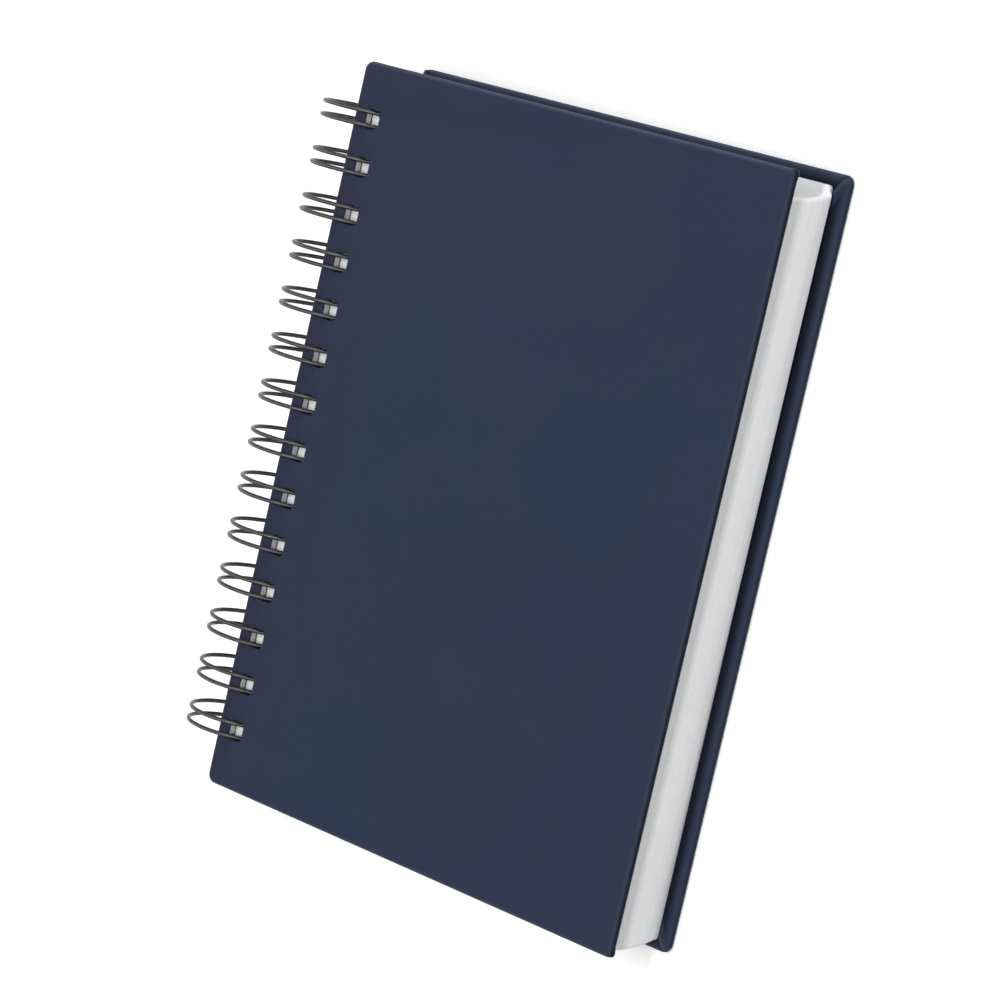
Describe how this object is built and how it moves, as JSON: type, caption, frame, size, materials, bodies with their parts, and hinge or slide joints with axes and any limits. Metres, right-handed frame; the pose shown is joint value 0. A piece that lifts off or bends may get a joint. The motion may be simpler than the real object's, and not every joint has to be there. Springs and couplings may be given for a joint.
{
  "type": "wire-bound notebook",
  "caption": "Hardcover notebook with leatherette covers, bound along the left edge by a row of twin wire loops; both covers turn on the wire.",
  "frame": {"origin": "middle of the base of the closed notebook's bounding box, under the lowest point of the wire loops", "axes": "+X from the wire-bound spine to the fore-edge, +Y from the tail to the head, +Z out of the front cover"},
  "size_m": [0.1658, 0.1962, 0.0295],
  "materials": {
    "leatherette": "fine matt grain, navy",
    "greyboard": "bare cut board",
    "lining_paper": "matt, dark",
    "page_paper": "matt, uncoated",
    "coated_wire": "semi-gloss coating"
  },
  "bodies": {
    "binding": {"wire_binding": "coated_wire", "page_block": "page_paper"},
    "front_cover": {"front_board": "greyboard", "front_wrap": "leatherette", "front_lining": "lining_paper"},
    "back_cover": {"back_board": "greyboard", "back_wrap": "leatherette", "back_lining": "lining_paper"}
  },
  "joints": [
    {"name": "front_cover_turn", "type": "hinge", "parent": "binding", "child": "front_cover", "pos_m": [-0.06815, 0, 0.01475], "axis": [0, -1, 0], "range_deg": [0, 180]},
    {"name": "back_cover_turn", "type": "hinge", "parent": "binding", "child": "back_cover", "pos_m": [-0.06815, 0, 0.01475], "axis": [0, -1, 0], "range_deg": [-180, 0]}
  ]
}
